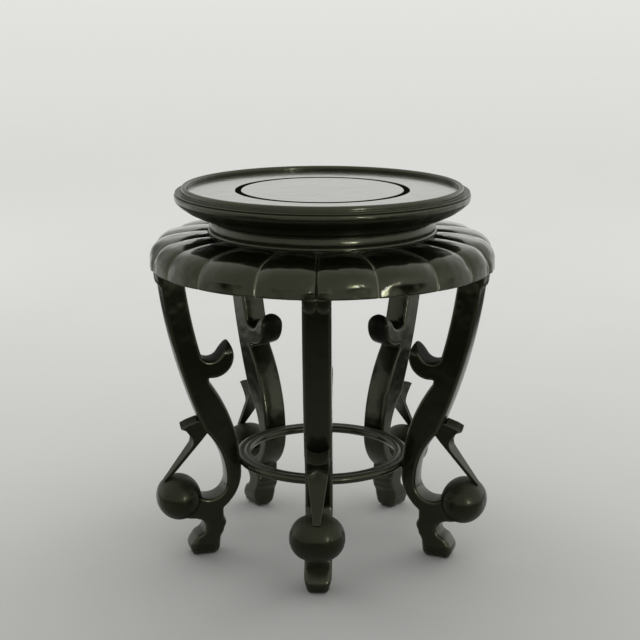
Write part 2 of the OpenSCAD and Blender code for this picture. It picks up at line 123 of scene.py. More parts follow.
def sawn_board(outline, half, ease, columns, barrel=0.0):
    """Rings of one outline set side by side across a board of the given half thickness at each point. Over the last
    stretch to either face the rings step in along the normal on a quarter circle, which rounds the arrises, and the
    edge between them is barrelled by the square of the distance from the middle."""
    inward, room = inward_room(outline)
    round_r = np.minimum(ease, ROUND_SHARE * room)
    spread = np.exp(-0.5 * (np.arange(-EVEN_REACH, EVEN_REACH + 1) / EVEN_WIDTH) ** 2)
    padded = np.r_[round_r[-EVEN_REACH:], round_r, round_r[:EVEN_REACH]]
    round_r = np.minimum(np.convolve(padded, spread / spread.sum(), "valid"), EVENED_SHARE * room)
    half = np.broadcast_to(half, round_r.shape)
    turn = np.radians(np.linspace(0, 90, ROUND_STEPS))[:, None]
    flat_in = np.minimum(round_r + FLAT_MARGIN, FLAT_SHARE * room)[None]
    step_in = np.vstack([flat_in, round_r * (1 - np.sin(turn))])
    side = np.vstack([half[None], half - round_r * (1 - np.cos(turn))])
    middle = np.linspace(1, -1, columns + 2)[1:-1, None] * (half - round_r)
    across = np.vstack([side, middle, -side[::-1]])
    inset = np.vstack([step_in, np.zeros_like(middle), step_in[::-1]])
    inset = np.minimum(inset + barrel * (across / half) ** 2, INSET_SHARE * room)
    path = outline[None] + inset[:, :, None] * inward[None]
    return np.stack([path[..., 0], across, path[..., 1]], 2)


def grid_faces(rows, columns, wrap_rows, wrap_columns):
    """Quads of a grid of points, closed on itself along its rows, its columns or both."""
    row = np.arange(rows if wrap_rows else rows - 1)[:, None]
    column = np.arange(columns if wrap_columns else columns - 1)[None]
    next_row, next_column = (row + 1) % rows, (column + 1) % columns
    corners = [row * columns + column, row * columns + next_column]
    corners += [next_row * columns + next_column, next_row * columns + column]
    return np.stack(corners, 2).reshape(-1, 4).tolist()


def capped_faces(rows, columns):
    """Quads of a tube of rows round closed columns, with one face over each end."""
    last = (rows - 1) * columns
    ends = [list(range(columns)), list(range(last, last + columns))[::-1]]
    return grid_faces(rows, columns, False, True) + ends


def leg_heading(number):
    """Direction of a leg in degrees about the upright axis, from the front one on."""
    return FRONT_LEG + LEG_TURN * (number - 1)


def at_leg(points, number):
    """Turns points given as radius, sideways and height to the direction of a leg, by sums with sine and cosine."""
    turn = math.radians(leg_heading(number))
    out, side, height = np.moveaxis(points, -1, 0)
    across = out * math.cos(turn) - side * math.sin(turn)
    ahead = out * math.sin(turn) + side * math.cos(turn)
    return np.stack([across, ahead, height], -1)


MERGE_NEAR, ARRIS_FULL = 1e-7, 160


def make_piece(name, points, faces, finish, slot, *nodes, crisp=40, fold=None):
    """Makes a closed shell of points in millimetres and faces one smooth mesh in metres, faces outward. The arris
    attribute is the mean over a point's edges of how far it stands out of its neighbours, over edge length."""
    mesh = bpy.data.meshes.new(name)
    mesh.from_pydata((points.reshape(-1, 3) * MM).tolist(), [], faces)
    work = bmesh.new()
    work.from_mesh(mesh)
    bmesh.ops.remove_doubles(work, verts=work.verts, dist=MERGE_NEAR)
    if fold:
        fold(work)
    bmesh.ops.recalc_face_normals(work, faces=work.faces)
    work.to_mesh(mesh)
    work.free()
    count = len(mesh.vertices)
    place, normal = np.empty(count * 3), np.empty(count * 3)
    ends = np.empty(len(mesh.edges) * 2, int)
    mesh.vertices.foreach_get("co", place)
    mesh.vertex_normals.foreach_get("vector", normal)
    mesh.edges.foreach_get("vertices", ends)
    place, normal, ends = place.reshape(-1, 3), normal.reshape(-1, 3), ends.reshape(-1, 2)
    ends = np.vstack([ends, ends[:, ::-1]])
    edge = place[ends[:, 0]] - place[ends[:, 1]]
    bend = (edge * normal[ends[:, 0]]).sum(1) / np.maximum((edge**2).sum(1), 1e-10)
    edges_at = np.maximum(np.bincount(ends[:, 0], minlength=count), 1)
    arris = np.clip(np.bincount(ends[:, 0], bend, count) / edges_at / ARRIS_FULL, -1, 1)
    layer = mesh.attributes.new("arris", "FLOAT", "POINT")
    layer.data.foreach_set("value", arris)
    mesh.polygons.foreach_set("use_smooth", np.ones(len(mesh.polygons), bool))
    mesh.set_sharp_from_angle(angle=math.radians(crisp))
    mesh.materials.append(finish)
    piece = bpy.data.objects.new(name, mesh)
    bpy.context.scene.collection.objects.link(piece)
    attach(piece, "root")
    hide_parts(*nodes)


class Strand:
    """One value in a finish. Sums, differences, products and powers of strands add Math nodes to their tree."""

    def __init__(self, tree, socket=None):
        self.tree, self.socket = tree, socket

    def node(self, kind, settings, sockets, output=0):
        """Adds a node: its settings first, then a value or a strand for each named or numbered socket."""
        made = self.tree.nodes.new(kind)
        for name, value in settings.items():
            setattr(made, name, value)
        for key, value in sockets.items():
            if isinstance(value, Strand):
                self.tree.links.new(value.socket, made.inputs[key])
            else:
                made.inputs[key].default_value = value
        return Strand(self.tree, made.outputs[output]) if made.outputs else made

    def maths(self, operation, first, second, clamp=False):
        """One Math node."""
        return self.node("ShaderNodeMath", {"operation": operation, "use_clamp": clamp}, {0: first, 1: second})

    def __add__(self, other):
        return self.maths("ADD", self, other)

    def __sub__(self, other):
        return self.maths("SUBTRACT", self, other)

    def __rsub__(self, other):
        return self.maths("SUBTRACT", other, self)

    def __mul__(self, other):
        return self.maths("MULTIPLY", self, other)

    def __pow__(self, other):
        return self.maths("POWER", self, other)

    __radd__, __rmul__ = __add__, __mul__

    def held(self):
        """The value held between nought and one."""
        return self.maths("ADD", self, 0.0, True)

    def size(self):
        """The value without its sign."""
        return self.maths("ABSOLUTE", self, 0.0)

    def blend(self, first, second):
        """Mixes two colours by this value."""
        return self.node("ShaderNodeMix", {"data_type": "RGBA"}, {0: self, 6: first, 7: second}, 2)


def new_finish(name):
    """An empty material, its strand to start from, and the place on the piece in Object coordinates."""
    material = bpy.data.materials.new(name)
    material.use_nodes = True
    material.node_tree.nodes.clear()
    start = Strand(material.node_tree)
    return material, start, start.node("ShaderNodeTexCoord", {}, {}, "Object")


def split(start, vector, axes):
    """The parts of a vector along the axes named."""
    return [start.node("ShaderNodeSeparateXYZ", {}, {"Vector": vector}, axis) for axis in axes]


def noise(start, place, stretch, scale, detail):
    """Noise of a given scale per metre on the place, stretched along the grain."""
    mapped = start.node("ShaderNodeMapping", {}, {"Vector": place, "Scale": stretch})
    return start.node("ShaderNodeTexNoise", {}, {"Vector": mapped, "Scale": scale, "Detail": detail})


PATCH_LEAST, PATCH_MORE = 0.35, 0.9


def patchy(cloud):
    """Share of wear and painted highlight that is left: a third everywhere, and more where the cloud is light."""
    return PATCH_LEAST + cloud * PATCH_MORE


EVEN, ALONG_GRAIN = (1, 1, 1), 0.035
STREAK_SCALE, CLOUD_SCALE, WAVE_SCALE, PORE_SCALE = 900.0, 34.0, 75.0, 2600.0
DEEP_BLACK, WARM_BLACK = (0.0006, 0.0010, 0.0004, 1), (0.0045, 0.0052, 0.0022, 1)
# The rubbed brown is the paler colour of worn arrises and also paints a highlight on them; the pale colour beside
# the dust grey is a painted highlight along the apron's valleys.
CLOUDY_BLACK, RUBBED_GLINT_BROWN = (0.0030, 0.0035, 0.0016, 1), (0.050, 0.050, 0.030, 1)
DUST_GREY, GLINT_PALE, GLOSS_TINT = (0.016, 0.017, 0.010, 1), (0.24, 0.24, 0.18, 1), (0.97, 1.0, 0.64, 1)
CLOUD_SHARE, RUBBED_GLINT_SHARE, DUST_SHARE, DUST_GAIN = 0.4, 0.5, 0.12, 1.4
GRAIN_ROUGH, DUST_ROUGH, UNDERSIDE_ROUGH, COAT_ROUGH = 0.06, 0.2, 0.3, 0.06
UNRUBBED_ROUGH, UNRUBBED_GLOSS = 0.6, 0.08
WAVE_HIGH, PORE_HIGH, FILM_STRENGTH = 0.75, 0.013, 0.9


def black_lacquer(name, stretch, rough=0.12, coat=0.2, gloss=0.5, dusty=0.5, wavy=0.0009, glinted=None, unrubbed=None):
    """Black lacquer on hardwood: streaks of the grain warm the colour, arrises are rubbed thinner and paler, which
    also paints a highlight on them, dust dulls the hollows and what faces up, and undersides are polished less. A
    pale painted highlight goes where the highlight mask says, and the film stays dull where unrubbed says. It is
    rubbed by hand, so a little wavy, with open pores along the grain."""
    material, start, place = new_finish(name)
    streak = noise(start, place, stretch, STREAK_SCALE, 5.0)
    cloud = noise(start, place, EVEN, CLOUD_SCALE, 3.0)
    wave = noise(start, place, EVEN, WAVE_SCALE, 1.0)
    pores = noise(start, place, stretch, PORE_SCALE, 2.0)
    arris = start.node("ShaderNodeAttribute", {"attribute_name": "arris"}, {}, "Fac")
    # Paler on convex arrises: partly wear, partly a painted highlight.
    rubbed_and_glint = (arris.held() * patchy(cloud)).held()
    hollow = ((0 - arris) * DUST_GAIN).held()
    facing = start.node("ShaderNodeNewGeometry", {}, {}, "Normal")
    (upward,) = split(start, facing, "Z")
    dull = upward.held() * upward * dusty + (0 - upward).held() * UNDERSIDE_ROUGH
    colour = streak.blend(DEEP_BLACK, WARM_BLACK)
    colour = (cloud * CLOUD_SHARE).blend(colour, CLOUDY_BLACK)
    colour = (rubbed_and_glint * RUBBED_GLINT_SHARE).blend(colour, RUBBED_GLINT_BROWN)
    colour = (hollow * DUST_SHARE).blend(colour, DUST_GREY)
    # A painted highlight: pale colour along the valleys, where the mask says.
    colour = glinted(start, place, cloud).blend(colour, GLINT_PALE) if glinted else colour
    height = wave * WAVE_HIGH + pores * PORE_HIGH + streak * PORE_HIGH
    bump = start.node("ShaderNodeBump", {}, {"Strength": FILM_STRENGTH, "Distance": wavy, "Height": height})
    shader = start.node(
        "ShaderNodeBsdfPrincipled",
        {},
        {
            "Base Color": colour,
            "Roughness": rough + streak * GRAIN_ROUGH + cloud * GRAIN_ROUGH + hollow * DUST_ROUGH + dull,
            "Specular IOR Level": gloss,
            "Specular Tint": GLOSS_TINT,
            "Coat Weight": coat,
            "Coat Roughness": COAT_ROUGH,
            "Normal": bump,
        },
    )
    if unrubbed:
        plain = {"Base Color": colour, "Normal": bump}
        plain |= {"Roughness": UNRUBBED_ROUGH, "Specular IOR Level": UNRUBBED_GLOSS}
        plain = start.node("ShaderNodeBsdfPrincipled", {}, plain)
        shader = start.node("ShaderNodeMixShader", {}, {0: unrubbed(start, place, facing), 1: shader, 2: plain})
    start.node("ShaderNodeOutputMaterial", {}, {"Surface": shader})
    return material


# Where the hook lies, in metres as the finish has it, with how fast the dull film fades at its bounds.
HOOK_WITHIN, HOOK_WITHIN_FADE = 0.1075, 700.0
HOOK_LOW, HOOK_LOW_FADE, HOOK_HIGH, HOOK_HIGH_FADE = 0.16, 300.0, 0.205, 100.0
SIDE_FADE = 13.0


def in_hook(start, place, facing):
    """Tells a finish where no rag reaches: the sawn edges of the hook, by its radius and height and by how little a
    face looks along the circle about the upright axis."""
    across, ahead, height = split(start, place, "XYZ")
    right, back = split(start, facing, "XY")
    out = (across * across + ahead * ahead) ** 0.5
    along = (back * across - right * ahead).size() * SIDE_FADE
    near = ((HOOK_WITHIN - out) * HOOK_WITHIN_FADE).held() * ((height - HOOK_LOW) * HOOK_LOW_FADE).held()
    near = near * ((HOOK_HIGH - height) * HOOK_HIGH_FADE).held()
    return near * (1 - along).held()


def shaft_radius(radius, height):
    """Radius from the upright axis at which one of the shaft's two long arcs passes a height, by Pythagoras."""
    return SHAFT_CENTRE[0] + np.sqrt(radius**2 - (SHAFT_CENTRE[1] - height) ** 2)


def leg_outline():
    """Outline of the leg in radius and height, as a chain of arcs and corners from the head down the outer edge,
    round the gap, the ball and the foot, and up the inner edge past the hook. The foot's corners are eased more."""
    head = (shaft_radius(SHAFT_OUT_R, LEG_TOP_Z), LEG_TOP_Z)
    back = (shaft_radius(SHAFT_IN_R, LEG_TOP_Z), LEG_TOP_Z)
    into_gap = crossing(SHAFT_CENTRE, SHAFT_OUT_R, GAP_CENTRE, GAP_R, 1)
    under_ball = crossing(BALL_CENTRE, LEG_END_R, CURL_CENTRE, CURL_R, 1)
    heel_up = (ANKLE_BACK, CURL_CENTRE[1] - math.sqrt(CURL_R**2 - (ANKLE_BACK - CURL_CENTRE[0]) ** 2))
    ankle = math.degrees(math.acos((ANKLE_CENTRE[0] - ANKLE_BACK) / ANKLE_R))
    notch = math.degrees(math.asin((NOTCH_Z - SWEEP_CENTRE[1]) / SWEEP_R))
    notch_up = math.degrees(math.asin((NOTCH_Z - SHAFT_CENTRE[1]) / SHAFT_IN_R))
    hook_low = crossing(SHAFT_CENTRE, SHAFT_IN_R, HOOK_CENTRE, HOOK_R, -1)
    hook_in = crossing(SHAFT_CENTRE, SHAFT_IN_R, HOLLOW_CENTRE, HOLLOW_R, -1)
    runs = [
        arc(SHAFT_CENTRE, SHAFT_OUT_R, bearing(head, SHAFT_CENTRE), bearing(into_gap, SHAFT_CENTRE)),
        arc(GAP_CENTRE, GAP_R, bearing(into_gap, GAP_CENTRE), 180),
        arc(GAP_FLOOR_CENTRE, GAP_FLOOR_R, 180, GAP_FLOOR_END),
        arc(BALL_CENTRE, LEG_END_R, LEG_END_FROM, bearing(under_ball, BALL_CENTRE)),
        arc(CURL_CENTRE, CURL_R, bearing(under_ball, CURL_CENTRE), CURL_END),
        arc(INSTEP_CENTRE, INSTEP_R, 90, 270),
        np.array(FOOT_CORNERS),
        arc(ANKLE_CENTRE, ANKLE_R, 180 + ankle, 180 - ankle),
        arc(CURL_CENTRE, CURL_R, bearing(heel_up, CURL_CENTRE), -180),
        arc(SWEEP_CENTRE, SWEEP_R, 180, 180 - notch),
        arc(SHAFT_CENTRE, SHAFT_IN_R, notch_up, bearing(hook_low, SHAFT_CENTRE)),
        arc(HOOK_CENTRE, HOOK_R, bearing(hook_low, HOOK_CENTRE) % 360, HOOK_END),
        arc(HOOK_TIP, HOOK_TIP_R, HOOK_TIP_FROM, HOOK_TIP_TO),
        arc(HOLLOW_CENTRE, HOLLOW_R, HOLLOW_FROM, bearing(hook_in, HOLLOW_CENTRE) % 360),
        arc(SHAFT_CENTRE, SHAFT_IN_R, bearing(hook_in, SHAFT_CENTRE), bearing(back, SHAFT_CENTRE)),
    ]
    crisp, soft = (even_outline(np.vstack(runs), LEG_SPACING, ease) for ease in (CRISP_EASE, SOFT_EASE))
    return soft + (crisp - soft) * np.clip((crisp[:, 1:] - SOFT_BELOW_Z) / SOFT_TALL, 0, 1)


def with_tongues(points):
    """Raises two tongues on the outer face below the head: rise times the half circle of the distance to each
    tongue's axis, which ends in a round, fading over a short way behind the face."""
    out, side, height = np.moveaxis(points, -1, 0)
    face = shaft_radius(SHAFT_OUT_R, height)
    below = np.maximum(0, LEG_TOP_Z - TONGUE_LONG + TONGUE_HALF - height)
    near = np.hypot(np.abs(side) - TONGUE_HALF, below) / TONGUE_HALF
    rise = TONGUE_RISE * np.sqrt(np.maximum(0, 1 - near**2)) * np.clip(1 - (face - out) / TONGUE_FADE, 0, 1)
    return np.stack([out + rise, side, height], -1)


def with_taper(points):
    """Draws the hoof in on both sides, evenly from its top down to the floor."""
    out, side, height = np.moveaxis(points, -1, 0)
    low = np.clip(1 - height / FOOT_TAPER_Z, 0, 1)
    return np.stack([out, side * (1 - low * FOOT_TAPER / (LEG_THICK / 2)), height], -1)


def taper_lines(work):
    """Cuts the flat faces on the lines where the hoof's taper and the round of the hook start."""
    for height in (FOOT_TAPER_Z, HORN_Z):
        geometry = work.verts[:] + work.edges[:] + work.faces[:]
        cut_at = (0, 0, height * MM)
        bmesh.ops.bisect_plane(work, geom=geometry, dist=1e-6, plane_co=cut_at, plane_no=(0, 0, 1))


upright_lacquer = black_lacquer("black_lacquer_upright_grain", (1, 1, ALONG_GRAIN), unrubbed=in_hook)
leg_line = leg_outline()
horn = np.clip((leg_line[:, 1] - HORN_Z) / HORN_TALL, 0, HORN_MOST)
leg_half = LEG_THICK / 2 * np.sqrt(1 - np.where(leg_line[:, 0] < HORN_R, horn, 0) ** 2)
hoof = np.clip((HOOF_EASE_Z - leg_line[:, 1]) / HOOF_EASE_TALL, 0, 1)
leg_ease = LEG_EASE + (HOOF_EASE - LEG_EASE) * hoof
leg_board = with_taper(with_tongues(sawn_board(leg_line, leg_half, leg_ease, LEG_COLUMNS, LEG_BARREL)))
leg_faces = capped_faces(*leg_board.shape[:2])
for number in range(1, LEGS + 1):
    turned_leg = at_leg(leg_board, number)
    leg_name = f"leg_{number}"
    make_piece(f"{leg_name}_carved", turned_leg, leg_faces, upright_lacquer, "hardwood", leg_name, fold=taper_lines)

# Balls: a half-round cheek glued and dowelled on each face of the leg's round end, then carved and rubbed down with
# it to one smooth ball, a little wider across the leg than it is high, with a soft crease at each joint.
CREASE_DEEP, CREASE_WIDE = 0.1, 1.0
BALL_SPLIT, BALL_RINGS, BALL_AROUND = 3, 110, 128


def ball():
    """The ball turned about the sideways axis through its middle: radius and place along the axis follow one half
    circle, the two halves of which stand apart by the barrel between them, and the radius dips in a narrow bell
    curve where the cheeks join the leg."""
    rise = np.radians(np.linspace(-90, 90, BALL_RINGS))
    along = BALL_R * np.sin(rise) + BALL_REACH * np.tanh(rise * BALL_SPLIT)
    crease = CREASE_DEEP * np.exp(-(((np.abs(along) - LEG_THICK / 2) / CREASE_WIDE) ** 2))
    radius = BALL_R * np.cos(rise) - crease
    around = np.radians(np.linspace(0, 360, BALL_AROUND, endpoint=False))[:, None]
    out = BALL_CENTRE[0] + radius * np.cos(around)
    height = BALL_CENTRE[1] + radius * np.sin(around)
    return np.stack([out, np.broadcast_to(along, out.shape), height], 2)


ball_lacquer = black_lacquer("black_lacquer_balls", EVEN, rough=0.18, coat=0.05, gloss=0.36, wavy=0.0014)
ball_points = ball()
ball_faces = grid_faces(*ball_points.shape[:2], True, False)
for number in range(1, LEGS + 1):
    cheeks = (f"cheek_left_{number}", f"cheek_right_{number}")
    make_piece(f"ball_{number}", at_leg(ball_points, number), ball_faces, ball_lacquer, "hardwood", *cheeks)

# Struts: thin straps that spring from the leg's outer face as a scooped beak and run down to the ball. Sawn and
# carved from one slip, and let into the leg with a short tenon.
THROAT_CENTRE, THROAT_R = (124.06, 102.74), 8.0
STRUT_OUTLINE = [
    np.array([(141.1, 68.6)]),
    arc(THROAT_CENTRE, THROAT_R, 218.6, 137.1),
    np.array([(121.2, 112.4), (124.7, 116.0), (119.6, 118.6), (110.4, 121.5), (102.7, 111.5), (138.6, 66.6)]),
]
STRUT_TOP_HALF, STRUT_END_HALF, STRUT_TOP_Z, STRUT_END_Z = 9.2, 2.4, 105.5, 65.5
SCOOP_R, SCOOP_LIFT, SCOOP_FROM_Z, SCOOP_TALL = 11.0, 7.4, 112.0, 4
GULLET_Z, GULLET_TALL, GULLET_WIDE, GULLET_DEEP, GULLET_FROM_R, GULLET_FADE = 98.0, 15.0, 4.2, 2.6, 112, 4
STRUT_EASE, STRUT_SPACING, STRUT_CORNER_EASE, STRUT_COLUMNS = 0.5, 0.6, 0.3, 30

strut_lacquer = black_lacquer(
    "black_lacquer_struts", (1, 1, ALONG_GRAIN), rough=0.17, coat=0.1, gloss=0.42, dusty=0.7
)
strut_line = even_outline(np.vstack(STRUT_OUTLINE), STRUT_SPACING, STRUT_CORNER_EASE)
flare = np.clip((strut_line[:, 1] - STRUT_END_Z) / (STRUT_TOP_Z - STRUT_END_Z), 0, 1)
strut_half = STRUT_END_HALF + (STRUT_TOP_HALF - STRUT_END_HALF) * flare
strut_board = sawn_board(strut_line, strut_half, STRUT_EASE, STRUT_COLUMNS)
scoop = np.maximum(0, np.sqrt(np.maximum(0, SCOOP_R**2 - strut_board[..., 1] ** 2)) - SCOOP_LIFT)
strut_board[..., 2] -= scoop * np.clip((strut_board[..., 2] - SCOOP_FROM_Z) / SCOOP_TALL, 0, 1)
gullet = np.clip((strut_board[..., 2] - GULLET_Z) / GULLET_TALL, 0, 1)
gullet = np.sin(math.pi * gullet) ** 2 * np.exp(-((strut_board[..., 1] / GULLET_WIDE) ** 2))
strut_board[..., 0] -= GULLET_DEEP * gullet * np.clip((strut_board[..., 0] - GULLET_FROM_R) / GULLET_FADE, 0, 1)
strut_faces = capped_faces(*strut_board.shape[:2])
for number in range(1, LEGS + 1):
    turned_strut = at_leg(strut_board, number)
    make_piece(f"strut_{number}_carved", turned_strut, strut_faces, strut_lacquer, "hardwood", f"strut_{number}")

# Stretcher ring: a ring turned from one board, with two reeds and a groove between them. It is housed in the inner
# edges of the legs and pegged there.
REED_R, REED_AT, REED_APART, REED_END, RING_Z = 3.5, 68.9, 3.0, 129.6, 80.5
RING_SPACING, RING_EASE = 0.5, 0.25
TURNED_COUNT = 240


def turned(section):
    """A closed section in radius and height carried once round the upright axis, by sine and cosine."""
    turn = np.radians(np.linspace(0, 360, TURNED_COUNT, endpoint=False))[:, None]
    radius, height = section.T
    across, ahead = radius * np.cos(turn), radius * np.sin(turn)
    return np.stack([across, ahead, np.broadcast_to(height, across.shape)], 2)


def turned_piece(name, runs, spacing, ease, finish, slot, *nodes):
    """Turns an eased section, given as runs of points, into a closed ring."""
    points = turned(even_outline(np.vstack(runs), spacing, ease))
    make_piece(name, points, grid_faces(*points.shape[:2], True, True), finish, slot, *nodes)


round_lacquer = black_lacquer("black_lacquer_turned", (0.12, 0.12, 1))
reeds = [
    arc((REED_AT + REED_APART, RING_Z), REED_R, -REED_END, REED_END),
    arc((REED_AT - REED_APART, RING_Z), REED_R, 180 - REED_END, 180 + REED_END),
]
turned_piece("stretcher_ring_turned", reeds, RING_SPACING, RING_EASE, round_lacquer, "hardwood", "stretcher_ring")

# Apron: five curved segments that meet over the legs, each carved with four smooth lobes between crisp valleys and
# hollowed underneath. Loose keys hold the segments to each other.
LOBES = 4
LOBE_TURN = LEG_TURN / LOBES
EVEN_VALLEYS, CARVED_VALLEYS = np.linspace(0, LEG_TURN, LOBES + 1), np.array([0, 19.0, 40.2, 57.4, 72.0])
LOBE_COLUMNS, CROWN_ROWS, BEND_ROWS, SKIRT_ROWS = 44, 18, 36, 11
LOBE_AXIS_R, APRON_Z, CROWN_Z = 97.0, 249.8, 278.3
SHOULDER_AT, SHOULDER_Z, SHOULDER_R = 30.3, 256.0, 18.5
CROWN_ANGLE = 90 - 2 * math.degrees(math.atan((CROWN_Z - SHOULDER_Z - SHOULDER_R) / SHOULDER_AT))
CROWN_R = SHOULDER_R + SHOULDER_AT / math.cos(math.radians(CROWN_ANGLE))
WAIST_FLOOR_Z, WAIST_SEAT_R, FRAME_IN_R, APRON_IN_R, HOLLOW_TOP_Z = 272.3, 96.7, 74.0, 121.0, 262.0
VALLEY_ROUND, GROOVE_DEEP, GROOVE_WIDE, CROWN_DEEP, CROWN_DEEP_TALL = 0.12, 0.8, 0.6, 1.5, 20
SKIRT_ANGLE, SKIRT_FLARE = 9.0, 0.09
HEM_R, HEM_SHARE, HEM_TOP_Z, HEM_FROM_LEG = 144.3, 0.75, 268.0, 16
TONGUE_Z, TONGUE_SWELL = (APRON_Z, 256.0, 264.0), (0.6, 1.5, 0.0)
APRON_EASE, EASE_FROM, EASE_ROWS = 1.1, 15, 4
EASE_CLEAR, EASE_FADE, EASE_LEAST = 1.7 * TONGUE_HALF, 3, 0.05


def apron_bay(valleys):
    """One bay as a grid of plan angle and section, its columns crowded to the valleys by a sine. The crown follows a
    sphere about the lobe's axis by distance from it, the shoulder a circle about the same axis, and radius comes
    from that distance by the law of cosines. Below the shoulder a skirt runs down and slightly out, and towards its
    edge the lobes run out into one circle, except over the legs. Valleys are then cut deeper and the tongues raised,
    square to the section, and the valleys are set at the angles given."""
    across = np.tile(np.sin(np.radians(np.linspace(-90, 90, LOBE_COLUMNS + 1)[:-1])), LOBES)
    first = np.repeat(np.arange(LOBES), LOBE_COLUMNS) * LOBE_TURN
    plan = np.r_[(across + 1) / 2 * LOBE_TURN + first, LEG_TURN][:, None]
    to_valley = LOBE_TURN / 2 - np.abs(plan % LOBE_TURN - LOBE_TURN / 2)
    lobe = np.radians(LOBE_TURN / 2 - np.sqrt(to_valley**2 + VALLEY_ROUND**2))
    aside, ahead = LOBE_AXIS_R * np.sin(lobe), LOBE_AXIS_R * np.cos(lobe)
    bend = np.radians(np.linspace(CROWN_ANGLE, SKIRT_ANGLE, BEND_ROWS))
    bend_z = SHOULDER_Z + SHOULDER_R * np.sin(bend)
    skirt_z = np.linspace(bend_z[-1], APRON_Z + APRON_EASE, SKIRT_ROWS + 1)[1:]
    far = SHOULDER_AT + SHOULDER_R * np.cos(bend)
    far = np.r_[far, far[-1] + SKIRT_FLARE * (bend_z[-1] - skirt_z)][None]
    bend = np.r_[bend, np.full(SKIRT_ROWS, math.atan(SKIRT_FLARE))][None]
    drop_r = ahead + np.sqrt(far**2 - aside**2)
    drop_z = np.broadcast_to(np.r_[bend_z, skirt_z][None], drop_r.shape)
    from_leg = np.radians(np.minimum(plan, LEG_TURN - plan)) * HEM_R
    hem = np.clip((HEM_TOP_Z - drop_z) / (HEM_TOP_Z - APRON_Z), 0, 1)
    hem = HEM_SHARE * hem * hem * (3 - 2 * hem) * (1 - np.exp(-((from_leg / HEM_FROM_LEG) ** 2)))
    drop_r = drop_r + (HEM_R - (SHOULDER_AT + SHOULDER_R - far) - drop_r) * hem
    share = np.linspace(0, 1, CROWN_ROWS + 1)[None, :-1]
    crown_r = WAIST_SEAT_R + (drop_r[:, :1] - WAIST_SEAT_R) * share
    near = np.sqrt(np.maximum((crown_r - ahead) ** 2 + aside**2, 0))
    crown_z = CROWN_Z - CROWN_R + np.sqrt(CROWN_R**2 - near**2)
    radius, height = np.hstack([crown_r, drop_r]), np.hstack([crown_z, drop_z])
    lean = np.hstack([np.arccos(np.minimum(near / CROWN_R, 1)), np.broadcast_to(bend, drop_r.shape)])
    cut = GROOVE_DEEP * np.exp(-((np.radians(to_valley) * radius / GROOVE_WIDE) ** 2))
    deep = CROWN_DEEP * (1 - to_valley / LOBE_TURN * 2) ** 4
    cut = cut + deep * np.clip((height - SHOULDER_Z) / CROWN_DEEP_TALL, 0, 1)
    tongue = np.sin(np.pi * np.clip(from_leg / TONGUE_HALF / 2, 0, 1))
    cut = cut - np.interp(height, TONGUE_Z, TONGUE_SWELL) * tongue
    radius, height = radius - cut * np.cos(lean), height - cut * np.sin(lean)
    turn = np.radians(np.linspace(EASE_FROM, 90, EASE_ROWS))[None]
    ease = APRON_EASE * np.clip((from_leg - EASE_CLEAR) / EASE_FADE, EASE_LEAST, 1)
    foot_r = radius[:, -1:] - ease * (1 - np.cos(turn))
    foot_z = APRON_Z + ease * (1 - np.sin(turn))
    inner = [(APRON_IN_R, APRON_Z), (APRON_IN_R, HOLLOW_TOP_Z), (FRAME_IN_R, HOLLOW_TOP_Z)]
    inner = np.array(inner + [(FRAME_IN_R, WAIST_FLOOR_Z), (WAIST_SEAT_R, WAIST_FLOOR_Z)])
    shape = (len(plan), len(inner))
    radius = np.hstack([radius, foot_r, np.broadcast_to(inner[:, 0], shape)])
    height = np.hstack([height, foot_z, np.broadcast_to(inner[:, 1], shape)])
    angle = np.radians(np.interp(plan, EVEN_VALLEYS, valleys))
    return np.stack([radius * np.cos(angle), radius * np.sin(angle), height], 2)


# Half width of the painted highlight along each valley, in metres.
GLINT_HALF = 0.0009


def valley_glint(valleys, first):
    """Tells a finish where a painted highlight goes: within a millimetre of a valley inside the bay, by the angle
    about the upright axis."""

    def glinted(start, place, cloud):
        across, ahead = split(start, place, "XY")
        angle = start.maths("ARCTAN2", ahead, across)
        out = (across * across + ahead * ahead) ** 0.5
        glint = None
        for valley in valleys[1:-1]:
            off = start.maths("SINE", angle - math.radians(first + valley), 0.0)
            near = (1 - (off * out).size() * (1 / GLINT_HALF)).held()
            glint = near if glint is None else start.maths("MAXIMUM", glint, near)
        return (glint * patchy(cloud)).held()

    return glinted


carved_by_hand = {1: CARVED_VALLEYS, 5: LEG_TURN - CARVED_VALLEYS[::-1]}
for number in range(1, LEGS + 1):
    valleys = carved_by_hand.get(number, EVEN_VALLEYS)
    # Each bay's finish gets a painted highlight along its inner valleys.
    glint = valley_glint(valleys, leg_heading(number))
    finish_name = f"black_lacquer_lobes_{number}"
    lobed_lacquer = black_lacquer(finish_name, (0.5, 0.5, 0.5), dusty=0.0, wavy=0.0019, glinted=glint)
    bay = at_leg(apron_bay(valleys), number)
    bay_faces = capped_faces(*bay.shape[:2])
    make_piece(f"apron_{number}_lobed", bay, bay_faces, lobed_lacquer, "hardwood", f"apron_{number}")

# Waist: a turned collar with a broad swelling band over a small bead and a dark quirk between them. It is dowelled
# to the rim above and to the apron below.
WAIST_FOOT_R, WAIST_LAP, WAIST_TOP_R, RIM_Z = 96.5, 0.6, 90.0, 288.9
BEAD, BEAD_R, BEAD_FROM, BEAD_TO = (93.9, 278.6), 2.3, -35, 75
SWELL, SWELL_R, SWELL_FROM, SWELL_TO = (84.7, 283.0), 10.7, -5, 32
WAIST_QUIRK = [(93.0, 280.9), (93.0, 281.5)]
WAIST_SPACING, WAIST_EASE = 0.4, 0.2
waist_section = [
    np.array([(FRAME_IN_R, WAIST_FLOOR_Z), (WAIST_FOOT_R, WAIST_FLOOR_Z), (WAIST_FOOT_R, CROWN_Z - WAIST_LAP)]),
    arc(BEAD, BEAD_R, BEAD_FROM, BEAD_TO),
    np.array(WAIST_QUIRK),
    arc(SWELL, SWELL_R, SWELL_FROM, SWELL_TO),
    np.array([(WAIST_TOP_R, RIM_Z), (FRAME_IN_R, RIM_Z)]),
]
turned_piece("waist_turned", waist_section, WAIST_SPACING, WAIST_EASE, round_lacquer, "hardwood", "waist")

